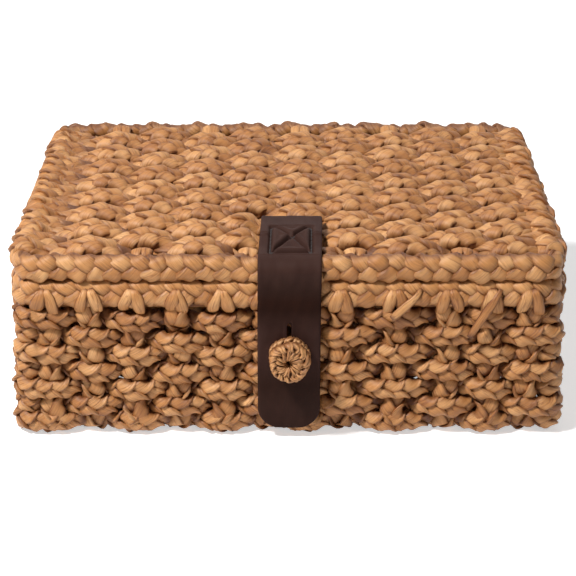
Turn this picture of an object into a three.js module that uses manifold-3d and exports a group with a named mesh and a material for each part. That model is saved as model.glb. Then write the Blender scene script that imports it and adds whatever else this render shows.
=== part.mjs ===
// Woven storage box with a hinged woven lid and a buttoned leather strap.
// Millimetres. X runs left to right, Y front to back, Z up from the surface it rests on.
import * as THREE from 'three';
import { mergeVertices } from 'three/addons/utils/BufferGeometryUtils.js';
import Module from 'manifold-3d';

// Overall size, over the rolls of the rim and the lid border
const boxWidth = 300;
const boxDepth = 230;
const lidTopZ = 105;
const rollRadius = 6.7;
const lidGap = 0.4;
const clearance = 0.3;

// Corners in plan, on the middle line of the wall and of the rolls
const wallCornerRadius = 9;
const rollCornerRadius = 10;

// Plaited cords of the walls
const rowCount = 7;
const rowGap = 0.4;
const rowTopGap = 0.35;
const rowThickness = 4;
const rowOffset = 4.7;
const footRowInnerOffset = 5.4;
const footRowTilt = (24 * Math.PI) / 180;
const stakeWidth = 11;
const stakeThickness = 2.8;
const stakeTurnRadius = 9;
const stakeRampStart = 2;
const stakeRampLength = 6;
const cordFlatShare = 0.4;
const wallSpread = 3.5;
const rowRelief = 1.3;
const lidRowRelief = 1.8;
const leafMiddleShare = 0.22;
const innerCornerShare = 0.45;
const creaseShare = 0.5;
// Leaves of a plait along a float: share of the way to the next stake, and rise as a share of the row's offset
const leafShares = [[-0.36, 0], [-0.12, 0.17], [0.12, 0.17], [0.36, 0]];

// Hand-set places of the front stakes, as shares of the half width of the wall
const frontStakeShares = [
  -0.904, -0.747, -0.585, -0.417, -0.251, -0.088, 0.056, 0.2, 0.401, 0.602, 0.76, 0.904,
];
const sideStakeCount = 7;
const sideStakeInset = 24.3;

// Cords woven through the base between the side stakes
const baseRowGap = 1;
const baseRowThickness = 2.8;
const baseRowFlat = 4;
const baseRowEndGap = 2.2;

// Lid weave round a wire frame, with the rods as shares of the half width
const lidRowCount = 16;
const lidRowGap = 0.4;
const lidRowThickness = 4.6;
const lidRowOffset = 4.2;
const lidFrameRadius = 1.5;
const lidRodRadius = 1.3;
const lidRodCount = 9;
const lidFirstRodShare = -0.747;
const lidRodPitchShare = 0.1996;
const lidSlotGap = 0.4;

// Hinge loops of raffia round the two rear rolls, each midway between two stakes
const loopStakes = [[2, 3], [8, 9]];
const loopWidth = 7.6;
const loopThickness = 1.6;
const loopGap = 0.6;

// Leather strap
const strapWidth = 34;
const strapThickness = 2.8;
const strapTopLength = 51.3;
const strapEndZ = 6.5;
const strapEndRadius = 12.5;
const slitLength = 20.7;
const slitWidth = 3.2;

// Stitching that holds the strap to the lid
const stitchWidth = 23;
const stitchLength = 31;
const stitchInset = 2.8;
const threadWidth = 1.2;
const threadThickness = 0.8;

// Knot button and its cord
const knotRadius = 12;
const knotThickness = 11;
const knotRow = 2;
const knotAboveRow = 1.3;
const knotShoulderShare = 0.72;
const knotProfileShares = [
  [0.92, 0.12],
  [1, 0.5],
  [0.92, 0.82],
  [0.72, 0.97],
  [0.5, 1],
  [0.34, 0.9],
  [0.26, 0.64],
  [0, 0.64],
];
const knotCordRadius = 1.2;
const knotSocketDepth = 3;
const knotStopRadius = 3;
const knotStopThickness = 4;
const knotStopInset = 3.2;
const mergeTolerance = 0.0001;

// Levels and middle lines that follow from the sizes above
const rollHalfWidth = boxWidth / 2 - rollRadius;
const rollHalfDepth = boxDepth / 2 - rollRadius;
const lidZ = lidTopZ - rollRadius;
const rimZ = lidZ - 2 * rollRadius - lidGap;
const stakeTopZ = rimZ - rollRadius - clearance;
const sideStakeBaseZ = stakeThickness / 2;
const frontStakeBaseZ = sideStakeBaseZ + stakeThickness + clearance;
const sideStakePitch = (2 * (rollHalfDepth - sideStakeInset)) / (sideStakeCount - 1);
const baseRowOffset = (stakeThickness + baseRowThickness) / 2 + clearance;
const baseRowWidth = sideStakePitch - stakeWidth - 2 * baseRowGap;
const baseRowEnd = rollHalfWidth + wallSpread - rowOffset - rowThickness / 2 - baseRowEndGap;
const loopOuterRadius = rollRadius + loopGap + loopThickness;
const turnCentreZ = sideStakeBaseZ + stakeTurnRadius;
const footRowZ = turnCentreZ - stakeTurnRadius * Math.sin(footRowTilt);
const rowsToZ = rimZ - loopOuterRadius - rowTopGap;
const rowPitch = (rowsToZ - footRowZ) / (rowCount - 1 + Math.cos(footRowTilt) / 2);
const rowHeight = rowPitch - rowGap;
const knotZ = rowsToZ - (knotRow + 0.5) * rowPitch + knotAboveRow;
const lidRowPitch = (2 * (rollHalfDepth - loopOuterRadius) - lidRowGap) / lidRowCount;
const lidRowWidth = lidRowPitch - lidRowGap;
const lidRowEnd = rollHalfWidth - rollRadius - 2 * clearance;
const lidSlotHalf = lidFrameRadius + lidSlotGap;
const strapInnerRadius = rollRadius + clearance;
const strapOuterRadius = strapInnerRadius + strapThickness;
const strapUnderZ = lidTopZ + clearance;
const strapFaceY = -(rollHalfDepth + strapOuterRadius);
const stitchFrontY = -rollHalfDepth + stitchInset;

const wasm = await Module();
wasm.setup();

const braidColour = 0xc69464;
const materials = {
  braid: { color: braidColour, roughness: 0.75, metalness: 0 },
  raffia: { color: 0xb98a5a, roughness: 0.8, metalness: 0 },
  wire: { color: 0x6f6a63, roughness: 0.5, metalness: 0.9 },
  leather: { color: 0x3b2723, roughness: 0.6, metalness: 0 },
  thread: { color: 0x241a18, roughness: 0.85, metalness: 0 },
};

const group = new THREE.Group();
group.name = 'woven_box';

// Turns a geometry inside out where its volume comes out negative
function facingOutwards(geometry) {
  const position = geometry.getAttribute('position');
  const index = Array.from(geometry.getIndex().array);
  const a = new THREE.Vector3();
  const b = new THREE.Vector3();
  const c = new THREE.Vector3();
  let volume = 0;
  for (let i = 0; i < index.length; i += 3) {
    a.fromBufferAttribute(position, index[i]);
    b.fromBufferAttribute(position, index[i + 1]);
    c.fromBufferAttribute(position, index[i + 2]);
    volume += a.dot(b.cross(c));
  }
  if (volume < 0) {
    for (let i = 0; i < index.length; i += 3) {
      const first = index[i];
      index[i] = index[i + 1];
      index[i + 1] = first;
    }
    geometry.setIndex(index);
  }
  return geometry;
}

// Joins sections of equal point count into one closed skin, as a ring or with two ends
function skin(sections, ring) {
  const count = sections[0].length;
  const points = sections.flat();
  const index = [];
  const last = ring ? sections.length : sections.length - 1;
  for (let i = 0; i < last; i += 1) {
    const here = i * count;
    const next = ((i + 1) % sections.length) * count;
    for (let j = 0; j < count; j += 1) {
      const k = (j + 1) % count;
      index.push(here + j, next + j, next + k);
      index.push(here + j, next + k, here + k);
    }
  }
  if (!ring) {
    const end = (sections.length - 1) * count;
    for (let j = 1; j < count - 1; j += 1) {
      index.push(0, j, j + 1);
      index.push(end, end + j + 1, end + j);
    }
  }
  const geometry = new THREE.BufferGeometry().setFromPoints(points);
  geometry.setIndex(index);
  return facingOutwards(geometry);
}

// Flat six-sided outline of a plaited cord: first number across the thickness, second across the width
function cordOutline(thickness, width) {
  const flat = (width / 2) * cordFlatShare;
  return [
    [thickness / 2, -flat],
    [thickness / 2, flat],
    [0, width / 2],
    [-thickness / 2, flat],
    [-thickness / 2, -flat],
    [0, -width / 2],
  ];
}

// Outline of a plait whose two rows of leaves stand up by turns, by which one is low: 1, -1 or 0 for neither
function plaitOutline(thickness, width, relief, low) {
  const flat = (width / 2) * cordFlatShare;
  const high = thickness / 2;
  const first = low < 0 ? high - relief : high;
  const second = low > 0 ? high - relief : high;
  const leafMiddle = width * leafMiddleShare;
  return [
    [first, -leafMiddle],
    [high - relief * creaseShare, 0],
    [second, leafMiddle],
    [0, width / 2],
    [-high, flat],
    [-high, -flat],
    [0, -width / 2],
  ];
}

function circleOutline(radius, sides) {
  const outline = [];
  for (let i = 0; i < sides; i += 1) {
    const angle = ((i + 0.5) / sides) * 2 * Math.PI;
    outline.push([radius * Math.cos(angle), radius * Math.sin(angle)]);
  }
  return outline;
}

// Places an outline at a point, its first number along one direction and its second along the other
function sectionAt(point, first, second, outline) {
  return outline.map(([u, v]) => point.clone().addScaledVector(first, u).addScaledVector(second, v));
}

function manifoldOf(geometry) {
  const bare = new THREE.BufferGeometry();
  bare.setAttribute('position', geometry.getAttribute('position').clone());
  if (geometry.getIndex()) {
    bare.setIndex(geometry.getIndex());
  }
  const merged = mergeVertices(bare);
  const vertProperties = new Float32Array(merged.getAttribute('position').array);
  const triVerts = new Uint32Array(merged.getIndex().array);
  return new wasm.Manifold(new wasm.Mesh({ numProp: 3, vertProperties, triVerts }));
}

function geometryOf(solid) {
  const mesh = solid.getMesh();
  const geometry = new THREE.BufferGeometry();
  geometry.setAttribute('position', new THREE.BufferAttribute(new Float32Array(mesh.vertProperties), 3));
  geometry.setIndex(new THREE.BufferAttribute(new Uint32Array(mesh.triVerts), 1));
  return geometry;
}

function cylinderBetween(from, to, radius, sides) {
  const along = to.clone().sub(from).normalize();
  const first = Math.abs(along.z) > 0.5 ? new THREE.Vector3(1, 0, 0) : new THREE.Vector3(0, 0, 1);
  const second = along.clone().cross(first).normalize();
  const outline = circleOutline(radius, sides);
  return skin([sectionAt(from, first, second, outline), sectionAt(to, first, second, outline)], false);
}

function boxSolid(low, high) {
  const size = high.clone().sub(low);
  const geometry = new THREE.BoxGeometry(size.x, size.y, size.z);
  const middle = low.clone().add(high).multiplyScalar(0.5);
  geometry.translate(middle.x, middle.y, middle.z);
  return geometry;
}

function addPart(name, geometry, material) {
  const mesh = new THREE.Mesh(geometry, new THREE.MeshStandardMaterial(materials[material]));
  mesh.name = name;
  group.add(mesh);
}

const frontStakeXs = frontStakeShares.map((share) => share * rollHalfWidth);

function sideStakeYs() {
  const ys = [];
  for (let i = 0; i < sideStakeCount; i += 1) {
    ys.push((i - (sideStakeCount - 1) / 2) * sideStakePitch);
  }
  return ys;
}

function rowZ(row) {
  return rowsToZ - (row + 0.5) * rowPitch;
}

// How far the side walls stand out at a height, because the box is a little wider at its foot
function spreadAt(z) {
  return (wallSpread * (stakeTopZ - z)) / (stakeTopZ - turnCentreZ);
}

// Point and outward direction on a corner of the wall or of a roll, at an angle round from +X
function cornerPoint(signX, signY, radius, angle) {
  const normal = new THREE.Vector3(Math.cos(angle), Math.sin(angle), 0);
  const centre = new THREE.Vector3(signX * (rollHalfWidth - radius), signY * (rollHalfDepth - radius), 0);
  return { point: centre.addScaledVector(normal, radius), normal };
}

// Stations of one wall row, anticlockwise from the front left, by turns in front of and behind the stakes
function rowStations(row, spread) {
  const stations = [];
  const sideX = rollHalfWidth + spread;
  let side = row % 2 === 0 ? 1 : -1;
  const cross = (x, y, normalX, normalY) => {
    const normal = new THREE.Vector3(normalX, normalY, 0);
    stations.push({ point: new THREE.Vector3(x, y, 0), normal, side, float: side > 0 });
    side = -side;
  };
  const turn = (signX, signY, startAngle, share, turnSide) => {
    const angle = startAngle + (share * Math.PI) / 2;
    const { point, normal } = cornerPoint(signX, signY, wallCornerRadius, angle);
    point.x += signX * spread;
    stations.push({ point, normal, side: turnSide < 0 ? innerCornerShare : turnSide, float: false });
  };
  frontStakeXs.forEach((x) => cross(x, -rollHalfDepth, 0, -1));
  turn(1, -1, -Math.PI / 2, 0.5, -side);
  turn(1, -1, -Math.PI / 2, 1, 0);
  sideStakeYs().forEach((y) => cross(sideX, y, 1, 0));
  turn(1, 1, 0, 0, 0);
  turn(1, 1, 0, 0.5, side);
  [...frontStakeXs].reverse().forEach((x) => cross(x, rollHalfDepth, 0, 1));
  turn(-1, 1, Math.PI / 2, 0.5, -side);
  turn(-1, 1, Math.PI / 2, 1, 0);
  [...sideStakeYs()].reverse().forEach((y) => cross(-sideX, y, -1, 0));
  turn(-1, -1, Math.PI, 0, 0);
  turn(-1, -1, Math.PI, 0.5, side);
  return stations;
}

// Sections of a plait through its stations, with leaves by turns where it floats in front
function plaitSections(stations, thickness, width, relief, offset) {
  const count = stations.length;
  const section = (place, station, low) => {
    const outline = plaitOutline(thickness, width, station.float ? relief : 0, low);
    return sectionAt(place, station.across, station.along, outline);
  };
  return stations.flatMap((station, i) => {
    if (!station.float) {
      return [section(station.place, station, 0)];
    }
    return leafShares.map(([share, rise], leaf) => {
      const neighbour = stations[(i + Math.sign(share) + count) % count];
      const place = station.place.clone().lerp(neighbour.place, Math.abs(share));
      place.addScaledVector(station.across, rise * offset);
      return section(place, station, leaf % 2 === 0 ? 1 : -1);
    });
  });
}

function wallRow(row) {
  const up = new THREE.Vector3(0, 0, 1);
  const stations = rowStations(row, spreadAt(rowZ(row))).map(({ point, normal, side, float }) => {
    const place = point.clone().addScaledVector(normal, side * rowOffset);
    place.z = rowZ(row);
    return { place, across: normal, along: up, float };
  });
  return skin(plaitSections(stations, rowThickness, rowHeight, rowRelief, rowOffset), true);
}

// Lowest row, tilted inwards where the stakes start to turn under
function footRow() {
  const up = new THREE.Vector3(0, 0, 1);
  const cos = Math.cos(footRowTilt);
  const sin = Math.sin(footRowTilt);
  const stations = rowStations(rowCount - 1, wallSpread).map(({ point, normal, side, float }) => {
    const reach = stakeTurnRadius + side * (side < 0 ? footRowInnerOffset : rowOffset);
    const place = point.clone().addScaledVector(normal, reach * cos - stakeTurnRadius);
    place.z = turnCentreZ - reach * sin;
    const across = normal.clone().multiplyScalar(cos).addScaledVector(up, -sin);
    const along = normal.clone().multiplyScalar(sin).addScaledVector(up, cos);
    return { place, across, along, float };
  });
  return skin(plaitSections(stations, rowThickness, rowHeight, rowRelief, rowOffset), true);
}

// The cord of the knot presses a hole through the row that it passes
function pierced(geometry) {
  const from = new THREE.Vector3(0, strapFaceY, knotZ);
  const to = new THREE.Vector3(0, -rollHalfDepth + rollRadius + rowThickness, knotZ);
  const hole = manifoldOf(cylinderBetween(from, to, knotCordRadius + clearance, 8));
  return geometryOf(manifoldOf(geometry).subtract(hole));
}

// Path of a stake down one wall, across the base and up the other, as distance out and height
function stakePath(half, baseZ, spread) {
  const path = [{ out: -half, z: stakeTopZ, angle: Math.PI }];
  const centreOut = half + spread - stakeTurnRadius;
  for (const share of [0, 1 / 3, 2 / 3, 1]) {
    const angle = Math.PI + (share * Math.PI) / 2;
    const out = -centreOut + stakeTurnRadius * Math.cos(angle);
    path.push({ out, z: turnCentreZ + stakeTurnRadius * Math.sin(angle), angle });
  }
  if (baseZ > sideStakeBaseZ) {
    const rampOut = stakeRampStart - centreOut;
    path.push({ out: rampOut, z: sideStakeBaseZ, angle: 1.5 * Math.PI });
    path.push({ out: rampOut + stakeRampLength, z: baseZ, angle: 1.5 * Math.PI });
  }
  const mirrored = [...path].reverse().map((p) => ({ out: -p.out, z: p.z, angle: Math.PI - p.angle }));
  return [...path, ...mirrored];
}

function stake(half, baseZ, spread, outward, across, place) {
  const outline = cordOutline(stakeThickness, stakeWidth);
  const up = new THREE.Vector3(0, 0, 1);
  const sections = stakePath(half, baseZ, spread).map(({ out, z, angle }) => {
    const point = across.clone().multiplyScalar(place).addScaledVector(outward, out).addScaledVector(up, z);
    const normal = outward.clone().multiplyScalar(Math.cos(angle)).addScaledVector(up, Math.sin(angle));
    return sectionAt(point, normal, across, outline);
  });
  return skin(sections, false);
}

function baseRow(y, firstSide) {
  const along = new THREE.Vector3(0, 1, 0);
  const up = new THREE.Vector3(0, 0, 1);
  const outline = cordOutline(baseRowThickness, baseRowWidth);
  const points = [];
  frontStakeXs.forEach((x, i) => {
    const z = frontStakeBaseZ + (i % 2 === 0 ? firstSide : -firstSide) * baseRowOffset;
    const first = i === 0 ? -baseRowEnd : x - baseRowFlat;
    const second = i === frontStakeXs.length - 1 ? baseRowEnd : x + baseRowFlat;
    points.push(new THREE.Vector3(first, y, z), new THREE.Vector3(second, y, z));
  });
  return skin(points.map((point) => sectionAt(point, up, along, outline)), false);
}

// Closed ring with rounded corners on the middle line of the rolls, at the height of the roll
function rollRing(outline, z) {
  const up = new THREE.Vector3(0, 0, 1);
  const sections = [];
  [[1, -1, -0.5], [1, 1, 0], [-1, 1, 0.5], [-1, -1, 1]].forEach(([signX, signY, startShare]) => {
    for (const share of [0, 1 / 3, 2 / 3, 1]) {
      const angle = (startShare + share / 2) * Math.PI;
      const { point, normal } = cornerPoint(signX, signY, rollCornerRadius, angle);
      point.z = z;
      sections.push(sectionAt(point, normal, up, outline));
    }
  });
  return skin(sections, true);
}

// Outline of the lid border, slotted on its inner side for the wire frame
function slottedOutline() {
  const outline = [[lidSlotHalf, lidSlotHalf]];
  const lip = Math.PI - Math.asin(lidSlotHalf / rollRadius);
  const steps = 12;
  for (let i = 0; i <= steps; i += 1) {
    const angle = lip - (2 * lip * i) / steps;
    outline.push([rollRadius * Math.cos(angle), rollRadius * Math.sin(angle)]);
  }
  outline.push([lidSlotHalf, -lidSlotHalf]);
  return outline;
}

function lidRodXs() {
  const xs = [];
  for (let i = 0; i < lidRodCount; i += 1) {
    xs.push((lidFirstRodShare + i * lidRodPitchShare) * rollHalfWidth);
  }
  return xs;
}

function lidFrame() {
  let solid = manifoldOf(rollRing(circleOutline(lidFrameRadius, 8), lidZ));
  lidRodXs().forEach((x) => {
    const from = new THREE.Vector3(x, -rollHalfDepth, lidZ);
    const to = new THREE.Vector3(x, rollHalfDepth, lidZ);
    solid = solid.add(manifoldOf(cylinderBetween(from, to, lidRodRadius, 8)));
  });
  return geometryOf(solid);
}

function lidRow(row) {
  const y = (row - (lidRowCount - 1) / 2) * lidRowPitch;
  const along = new THREE.Vector3(0, 1, 0);
  const up = new THREE.Vector3(0, 0, 1);
  const stationAt = (x, side) => {
    const place = new THREE.Vector3(x, y, lidZ + side * lidRowOffset);
    return { place, across: up, along, float: side > 0 };
  };
  const stations = [stationAt(-lidRowEnd, 0)];
  lidRodXs().forEach((x, i) => {
    stations.push(stationAt(x, (i + row) % 2 === 0 ? 1 : -1));
  });
  stations.push(stationAt(lidRowEnd, 0));
  return skin(plaitSections(stations, lidRowThickness, lidRowWidth, lidRowRelief, lidRowOffset), false);
}

function hingeLoop(x) {
  const across = new THREE.Vector3(1, 0, 0);
  const outline = cordOutline(loopThickness, loopWidth);
  const radius = rollRadius + loopGap + loopThickness / 2;
  const sections = [];
  [[lidZ, 0], [rimZ, Math.PI]].forEach(([z, start]) => {
    for (let i = 0; i <= 6; i += 1) {
      const angle = start + (i / 6) * Math.PI;
      const normal = new THREE.Vector3(0, Math.cos(angle), Math.sin(angle));
      const point = new THREE.Vector3(x, rollHalfDepth, z).addScaledVector(normal, radius);
      sections.push(sectionAt(point, normal, across, outline));
    }
  });
  return skin(sections, true);
}

// Lines of the stitching in plan: four sides and two diagonals, with one width
function stitchBars(width, lowZ, highZ) {
  const half = stitchWidth / 2;
  const front = stitchFrontY;
  const rear = stitchFrontY + stitchLength;
  const lines = [
    [-half, front, half, front],
    [half, front, half, rear],
    [half, rear, -half, rear],
    [-half, rear, -half, front],
    [-half, front, half, rear],
    [half, front, -half, rear],
  ];
  let solid = null;
  lines.forEach(([x1, y1, x2, y2]) => {
    const length = Math.hypot(x2 - x1, y2 - y1) + width;
    const bar = new THREE.BoxGeometry(length, width, highZ - lowZ);
    bar.rotateZ(Math.atan2(y2 - y1, x2 - x1));
    bar.translate((x1 + x2) / 2, (y1 + y2) / 2, (lowZ + highZ) / 2);
    solid = solid ? solid.add(manifoldOf(bar)) : manifoldOf(bar);
  });
  return solid;
}

// Legs of the thread that go down through the leather at the corners
function stitchLegs(width, lowZ, highZ) {
  const half = stitchWidth / 2;
  const legs = [];
  for (const x of [-half, half]) {
    for (const y of [stitchFrontY, stitchFrontY + stitchLength]) {
      const low = new THREE.Vector3(x - width / 2, y - width / 2, lowZ);
      const high = new THREE.Vector3(x + width / 2, y + width / 2, highZ);
      legs.push(manifoldOf(boxSolid(low, high)));
    }
  }
  return legs;
}

function stitching() {
  const topZ = strapUnderZ + strapThickness;
  let solid = stitchBars(threadWidth, topZ - threadThickness, topZ);
  stitchLegs(threadWidth, strapUnderZ, topZ - threadThickness / 2).forEach((leg) => {
    solid = solid.add(leg);
  });
  return geometryOf(solid);
}

function strapAnchor() {
  const topZ = strapUnderZ + strapThickness;
  const low = new THREE.Vector3(-strapWidth / 2, -rollHalfDepth + clearance / 2, strapUnderZ);
  const high = new THREE.Vector3(strapWidth / 2, -rollHalfDepth + strapTopLength, topZ);
  let solid = manifoldOf(boxSolid(low, high));
  const cutWidth = threadWidth + 2 * clearance;
  const overrun = clearance;
  const cutDepth = threadThickness + clearance;
  solid = solid.subtract(stitchBars(cutWidth, topZ - cutDepth, topZ + overrun));
  stitchLegs(cutWidth, strapUnderZ - overrun, topZ).forEach((leg) => {
    solid = solid.subtract(leg);
  });
  return geometryOf(solid);
}

// Hanging part of the strap, seen from the front, with its rounded end and its slit
function strapFace() {
  const half = strapWidth / 2;
  const shape = new THREE.Shape();
  shape.moveTo(-half, lidZ);
  shape.lineTo(-half, strapEndZ + strapEndRadius);
  const endX = half - strapEndRadius;
  const endZ = strapEndZ + strapEndRadius;
  shape.absarc(-endX, endZ, strapEndRadius, Math.PI, 1.5 * Math.PI);
  shape.absarc(endX, endZ, strapEndRadius, 1.5 * Math.PI, 2 * Math.PI);
  shape.lineTo(half, lidZ);
  const slit = new THREE.Path();
  const slitRadius = slitWidth / 2;
  slit.absarc(0, knotZ + slitLength - slitRadius, slitRadius, 0, Math.PI);
  slit.absarc(0, knotZ, slitRadius, Math.PI, 2 * Math.PI);
  shape.holes.push(slit);
  const geometry = new THREE.ExtrudeGeometry(shape, {
    depth: strapThickness,
    bevelEnabled: false,
    curveSegments: 8,
  });
  geometry.rotateX(Math.PI / 2);
  geometry.translate(0, strapFaceY + strapThickness, 0);
  return geometry;
}

// Bend of the strap over the front roll of the lid
function strapBend() {
  const across = new THREE.Vector3(1, 0, 0);
  const half = strapWidth / 2;
  const outline = [
    [strapInnerRadius, -half],
    [strapOuterRadius, -half],
    [strapOuterRadius, half],
    [strapInnerRadius, half],
  ];
  const steps = 6;
  const start = clearance / (2 * strapOuterRadius);
  const sections = [];
  for (let i = 0; i <= steps; i += 1) {
    const angle = Math.PI / 2 + start + (i / steps) * (Math.PI / 2 - start);
    const outwards = new THREE.Vector3(0, Math.cos(angle), Math.sin(angle));
    const centre = new THREE.Vector3(0, -rollHalfDepth, lidZ);
    sections.push(sectionAt(centre, outwards, across, outline));
  }
  return skin(sections, false);
}

function strapFlap() {
  return geometryOf(manifoldOf(strapFace()).add(manifoldOf(strapBend())));
}

// Round plaited button with a dimple in front and a socket for its cord behind
function knotButton() {
  const socketRadius = knotCordRadius + clearance;
  const profile = [
    [0, knotSocketDepth],
    [socketRadius, knotSocketDepth],
    [socketRadius, 0],
    [knotRadius * knotShoulderShare, 0],
    ...knotProfileShares.map(([across, along]) => [across * knotRadius, along * knotThickness]),
  ];
  const sides = 20;
  const geometry = new THREE.LatheGeometry(profile.map(([r, h]) => new THREE.Vector2(r, h)), sides);
  const knot = onAxis(geometry);
  knot.rotateX(Math.PI);
  knot.translate(0, strapFaceY - clearance, knotZ);
  return facingOutwards(knot);
}

// Puts the points that lie on the axis of a turned profile exactly on it, and its seam together
function onAxis(geometry) {
  const bare = new THREE.BufferGeometry();
  bare.setAttribute('position', geometry.getAttribute('position').clone());
  bare.setIndex(geometry.getIndex());
  const merged = mergeVertices(bare, mergeTolerance);
  const index = Array.from(merged.getIndex().array);
  const kept = [];
  for (let i = 0; i < index.length; i += 3) {
    const [a, b, c] = index.slice(i, i + 3);
    if (a !== b && b !== c && c !== a) {
      kept.push(a, b, c);
    }
  }
  merged.setIndex(kept);
  return facingOutwards(merged);
}

// Cord of the knot, through the strap and the wall, with its stop knot inside the box
function knotCord() {
  const backY = strapFaceY - clearance;
  const frontY = backY - knotSocketDepth + clearance;
  const stopY = -rollHalfDepth + knotStopInset;
  const overlap = knotStopThickness / 2;
  const from = new THREE.Vector3(0, frontY, knotZ);
  const middle = new THREE.Vector3(0, stopY + overlap, knotZ);
  const cord = manifoldOf(cylinderBetween(from, middle, knotCordRadius, 8));
  const stopFrom = new THREE.Vector3(0, stopY, knotZ);
  const stopTo = new THREE.Vector3(0, stopY + knotStopThickness, knotZ);
  return geometryOf(cord.add(manifoldOf(cylinderBetween(stopFrom, stopTo, knotStopRadius, 12))));
}

function numbered(stem, number) {
  return `${stem}_${String(number).padStart(2, '0')}`;
}

function addBox() {
  const outwardY = new THREE.Vector3(0, 1, 0);
  const outwardX = new THREE.Vector3(1, 0, 0);
  for (let row = 0; row < rowCount; row += 1) {
    const rowPart = row === rowCount - 1 ? footRow() : wallRow(row);
    const isPierced = Math.abs(rowZ(row) - knotZ) < rowHeight / 2 + knotCordRadius + clearance;
    addPart(numbered('wall_row', row + 1), isPierced ? pierced(rowPart) : rowPart, 'braid');
  }
  frontStakeXs.forEach((x, i) => {
    const longStake = stake(rollHalfDepth, frontStakeBaseZ, 0, outwardY, outwardX, x);
    addPart(numbered('long_stake', i + 1), longStake, 'braid');
  });
  sideStakeYs().forEach((y, i) => {
    const crossStake = stake(rollHalfWidth, sideStakeBaseZ, wallSpread, outwardX, outwardY, y);
    addPart(numbered('cross_stake', i + 1), crossStake, 'braid');
  });
  const ys = sideStakeYs();
  for (let i = 0; i < ys.length - 1; i += 1) {
    const middle = (ys[i] + ys[i + 1]) / 2;
    addPart(numbered('base_row', i + 1), baseRow(middle, i % 2 === 0 ? 1 : -1), 'braid');
  }
  addPart('box_rim', rollRing(circleOutline(rollRadius, 12), rimZ), 'braid');
}

function addLid() {
  for (let row = 0; row < lidRowCount; row += 1) {
    addPart(numbered('lid_row', row + 1), lidRow(row), 'braid');
  }
  addPart('lid_frame', lidFrame(), 'wire');
  addPart('lid_border', rollRing(slottedOutline(), lidZ), 'braid');
}

function addStrapAndKnot() {
  addPart('strap_anchor', strapAnchor(), 'leather');
  addPart('strap_stitching', stitching(), 'thread');
  addPart('strap_flap', strapFlap(), 'leather');
  addPart('knot_button', knotButton(), 'braid');
  addPart('knot_cord', knotCord(), 'raffia');
}

addBox();
addLid();
loopStakes.forEach(([first, second], i) => {
  const x = (frontStakeXs[first] + frontStakeXs[second]) / 2;
  addPart(i === 0 ? 'hinge_loop_left' : 'hinge_loop_right', hingeLoop(x), 'raffia');
});
addStrapAndKnot();

export default group;
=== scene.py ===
"""Woven storage box with a hinged lid and a buttoned leather strap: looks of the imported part.

Lengths are in millimetres until a mesh is made. X runs left to right, Y front to back, Z up.
"""
from math import cos, hypot, pi, radians, sin

import bpy
import numpy as np
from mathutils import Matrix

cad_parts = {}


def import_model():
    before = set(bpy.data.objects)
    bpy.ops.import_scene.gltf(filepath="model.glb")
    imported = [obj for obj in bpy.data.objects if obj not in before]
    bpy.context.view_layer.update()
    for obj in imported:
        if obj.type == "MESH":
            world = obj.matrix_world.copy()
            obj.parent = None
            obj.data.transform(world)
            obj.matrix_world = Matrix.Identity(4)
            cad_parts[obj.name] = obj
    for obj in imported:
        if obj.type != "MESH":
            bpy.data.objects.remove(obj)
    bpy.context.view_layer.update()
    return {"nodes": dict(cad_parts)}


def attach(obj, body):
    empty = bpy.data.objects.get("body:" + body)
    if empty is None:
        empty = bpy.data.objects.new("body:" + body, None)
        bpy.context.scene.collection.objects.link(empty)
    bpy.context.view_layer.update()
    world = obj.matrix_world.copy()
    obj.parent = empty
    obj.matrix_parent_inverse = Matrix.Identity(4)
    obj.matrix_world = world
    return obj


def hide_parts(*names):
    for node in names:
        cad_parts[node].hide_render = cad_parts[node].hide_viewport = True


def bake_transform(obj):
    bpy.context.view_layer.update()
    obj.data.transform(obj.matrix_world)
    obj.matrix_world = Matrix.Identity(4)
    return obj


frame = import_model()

MM = 0.001
UP = np.array([0.0, 0.0, 1.0])
LEAF_SIDES = 14

# Sizes shared with the solids
HALF_X = 143.3
HALF_Y = 108.3
WALL_CORNER = 9.0
ROLL_CORNER = 10.0
ROLL_RADIUS = 6.7
LID_TOP = 105.0
LID_Z = 98.3
RIM_Z = 84.5
STAKE_XS = [share * HALF_X for share in (
    -0.904, -0.747, -0.585, -0.417, -0.251, -0.088, 0.056, 0.2, 0.401, 0.602, 0.76, 0.904)]
STAKE_YS = [28.0 * i for i in range(-3, 4)]
ROW_COUNT = 7
ROW_TOP = 75.25
ROW_PITCH = 10.61
TURN_RADIUS = 6.0
TURN_Z = 7.4
FOOT_TILT = radians(24)
STAKE_TOP = 77.5
WALL_SPREAD = 3.5
LONG_BASE_Z = 4.5
SIDE_BASE_Z = 1.5
LID_ROWS = 16
LID_PITCH = 12.4
ROD_SPACING = 28.6
ROD_XS = [(-0.747 + 0.1996 * i) * HALF_X for i in range(9)]
STRAP_HALF = 17.0
STRAP_THICKNESS = 2.8
KNOT_Z = 50.0
KNOT_Y = -118.4
KNOT_RADIUS = 7.2


def rng_for(name):
    """A random source that depends on the piece's name alone."""
    return np.random.default_rng([ord(c) for c in name])


def wobble(t, cycles, rng):
    """Smooth random wave of about unit size along t from 0 to 1, which closes on itself."""
    total = np.zeros_like(t)
    for share in (0.6, 1.0, 1.7):
        k = max(1, round(cycles * share))
        total += np.sin(2 * pi * (k * t + rng.random())) * 0.55
    return total


def unit(v):
    return v / np.maximum(np.linalg.norm(v, axis=-1, keepdims=True), 1e-9)


def along_path(points, closed):
    """Direction at each point of a path."""
    if closed:
        return unit(np.roll(points, -1, axis=0) - np.roll(points, 1, axis=0))
    return unit(np.gradient(points, axis=0))


def lengths(points, closed):
    """Distance along a path at each point, and its whole length."""
    steps = np.linalg.norm(np.diff(points, axis=0), axis=1)
    s = np.concatenate([[0.0], np.cumsum(steps)])
    whole = s[-1] + (np.linalg.norm(points[0] - points[-1]) if closed else 0.0)
    return s, whole


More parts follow.
